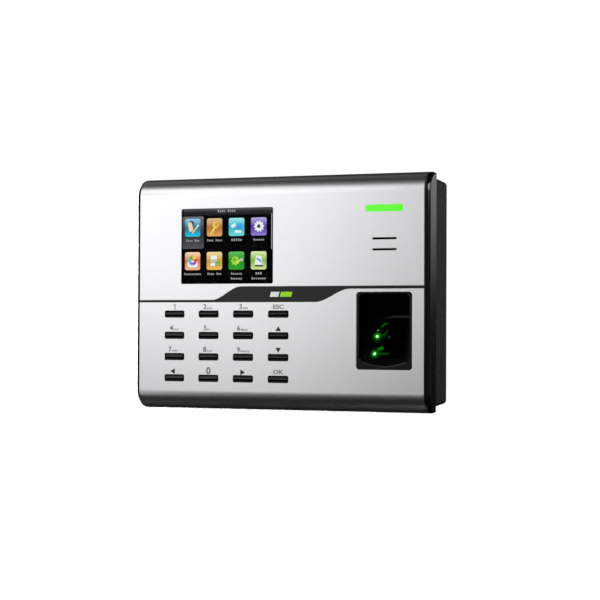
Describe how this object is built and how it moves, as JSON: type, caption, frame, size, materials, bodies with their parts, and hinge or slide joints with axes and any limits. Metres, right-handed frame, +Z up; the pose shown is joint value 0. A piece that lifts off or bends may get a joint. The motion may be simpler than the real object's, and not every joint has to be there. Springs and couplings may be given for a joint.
{
  "type": "fingerprint access terminal",
  "caption": "Wall-mounted fingerprint terminal with a colour display, rows of keys, a lit status bar and a recessed optical reader.",
  "frame": {"origin": "centre of the wall plate's four screw holes, on the plate's rear face, which lies on the wall", "axes": "+X to the right as the user sees the terminal, +Z up, and the front faces -Y"},
  "size_m": [0.1908, 0.0385, 0.1412],
  "materials": {
    "silver_fascia": "fine satin silver sheet with a soft metallic grain",
    "black_gloss_shell": "glossy black moulding",
    "black_gloss_guide": "polished black moulding round the finger groove",
    "black_textured_shell": "fine spark-textured black moulding",
    "dark_band": "dark grey semi-gloss strip",
    "screen_glass": "clear flat window with a black printed edge",
    "lcd": null,
    "foam": "soft black foam",
    "tin_plate": "bright tin plate",
    "green_lens": "lit green translucent lens",
    "circuit_board": "green solder mask with tracks and pads",
    "led_lens": "clear white lamp body",
    "led_green": "lit green lamp",
    "cloth": "fine black acoustic cloth",
    "speaker_metal": "black lacquered steel basket",
    "prism_glass": "polished optical glass",
    "lens_glass": "small coated lens",
    "black_matte": "plain black moulding",
    "key_black": "glossy black keycap",
    "silicone": "dark grey silicone",
    "flex_film": "amber polyimide film with copper traces",
    "screw_steel": "zinc-plated steel",
    "chip_black": "moulded black package",
    "relay_blue": "blue moulded case",
    "cell_steel": "brushed steel can",
    "connector_shield": "nickel-plated shield",
    "terminal_green": "green moulded terminal block",
    "button_red": "small red button",
    "seal_rubber": "soft black seal",
    "plunger_white": "natural white acetal",
    "plate_steel": "galvanised steel sheet"
  },
  "bodies": {
    "terminal": {"front_frame": "black_gloss_shell", "upper_fascia": "silver_fascia", "lower_fascia": "silver_fascia", "centre_band": "dark_band", "display_window": "screen_glass", "display_gasket": "foam", "lcd_panel": "lcd", "lcd_frame": "tin_plate", "light_pipe": "green_lens", "led_board": "circuit_board", "status_leds": "led_lens", "speaker_cloth": "cloth", "speaker_gasket": "foam", "speaker": "speaker_metal", "finger_guide": "black_gloss_guide", "sensor_prism": "prism_glass", "sensor_leds": "led_green", "sensor_lens": "lens_glass", "sensor_housing": "black_matte", "sensor_board": "circuit_board", "keypad_mat": "silicone", "keypad_board": "circuit_board", "flex_cables": "flex_film", "main_board": "circuit_board", "board_screws": "screw_steel", "board_chips": "chip_black", "lock_relay": "relay_blue", "coin_cell": "cell_steel", "cell_holder": "black_matte", "network_jack": "connector_shield", "power_jack": "black_matte", "wiring_terminals": "terminal_green", "usb_socket": "connector_shield", "reset_switch": "black_matte", "housing_seal": "seal_rubber", "rear_housing": "black_textured_shell", "case_screws": "screw_steel", "tamper_switch": "black_matte", "wall_plate": "plate_steel", "locking_screw": "screw_steel"},
    "key_1": {"key_1": "key_black"},
    "key_2": {"key_2": "key_black"},
    "key_3": {"key_3": "key_black"},
    "key_esc": {"key_esc": "key_black"},
    "key_4": {"key_4": "key_black"},
    "key_5": {"key_5": "key_black"},
    "key_6": {"key_6": "key_black"},
    "key_up": {"key_up": "key_black"},
    "key_7": {"key_7": "key_black"},
    "key_8": {"key_8": "key_black"},
    "key_9": {"key_9": "key_black"},
    "key_down": {"key_down": "key_black"},
    "key_left": {"key_left": "key_black"},
    "key_0": {"key_0": "key_black"},
    "key_right": {"key_right": "key_black"},
    "key_ok": {"key_ok": "key_black"},
    "reset_button": {"reset_button": "button_red"},
    "tamper_plunger": {"tamper_plunger": "plunger_white"}
  },
  "joints": [
    {"name": "key_1_press", "type": "slide", "parent": "terminal", "child": "key_1", "axis": [0, 1, 0], "range_m": [0, 0.001], "stiffness_N_per_m": 400},
    {"name": "key_2_press", "type": "slide", "parent": "terminal", "child": "key_2", "axis": [0, 1, 0], "range_m": [0, 0.001], "stiffness_N_per_m": 400},
    {"name": "key_3_press", "type": "slide", "parent": "terminal", "child": "key_3", "axis": [0, 1, 0], "range_m": [0, 0.001], "stiffness_N_per_m": 400},
    {"name": "key_esc_press", "type": "slide", "parent": "terminal", "child": "key_esc", "axis": [0, 1, 0], "range_m": [0, 0.001], "stiffness_N_per_m": 400},
    {"name": "key_4_press", "type": "slide", "parent": "terminal", "child": "key_4", "axis": [0, 1, 0], "range_m": [0, 0.001], "stiffness_N_per_m": 400},
    {"name": "key_5_press", "type": "slide", "parent": "terminal", "child": "key_5", "axis": [0, 1, 0], "range_m": [0, 0.001], "stiffness_N_per_m": 400},
    {"name": "key_6_press", "type": "slide", "parent": "terminal", "child": "key_6", "axis": [0, 1, 0], "range_m": [0, 0.001], "stiffness_N_per_m": 400},
    {"name": "key_up_press", "type": "slide", "parent": "terminal", "child": "key_up", "axis": [0, 1, 0], "range_m": [0, 0.001], "stiffness_N_per_m": 400},
    {"name": "key_7_press", "type": "slide", "parent": "terminal", "child": "key_7", "axis": [0, 1, 0], "range_m": [0, 0.001], "stiffness_N_per_m": 400},
    {"name": "key_8_press", "type": "slide", "parent": "terminal", "child": "key_8", "axis": [0, 1, 0], "range_m": [0, 0.001], "stiffness_N_per_m": 400},
    {"name": "key_9_press", "type": "slide", "parent": "terminal", "child": "key_9", "axis": [0, 1, 0], "range_m": [0, 0.001], "stiffness_N_per_m": 400},
    {"name": "key_down_press", "type": "slide", "parent": "terminal", "child": "key_down", "axis": [0, 1, 0], "range_m": [0, 0.001], "stiffness_N_per_m": 400},
    {"name": "key_left_press", "type": "slide", "parent": "terminal", "child": "key_left", "axis": [0, 1, 0], "range_m": [0, 0.001], "stiffness_N_per_m": 400},
    {"name": "key_0_press", "type": "slide", "parent": "terminal", "child": "key_0", "axis": [0, 1, 0], "range_m": [0, 0.001], "stiffness_N_per_m": 400},
    {"name": "key_right_press", "type": "slide", "parent": "terminal", "child": "key_right", "axis": [0, 1, 0], "range_m": [0, 0.001], "stiffness_N_per_m": 400},
    {"name": "key_ok_press", "type": "slide", "parent": "terminal", "child": "key_ok", "axis": [0, 1, 0], "range_m": [0, 0.001], "stiffness_N_per_m": 400},
    {"name": "reset_press", "type": "slide", "parent": "terminal", "child": "reset_button", "axis": [0, -1, 0], "range_m": [0, 0.0004], "stiffness_N_per_m": 500},
    {"name": "tamper_press", "type": "slide", "parent": "terminal", "child": "tamper_plunger", "axis": [0, -1, 0], "range_m": [0, 0.0015], "stiffness_N_per_m": 300}
  ]
}
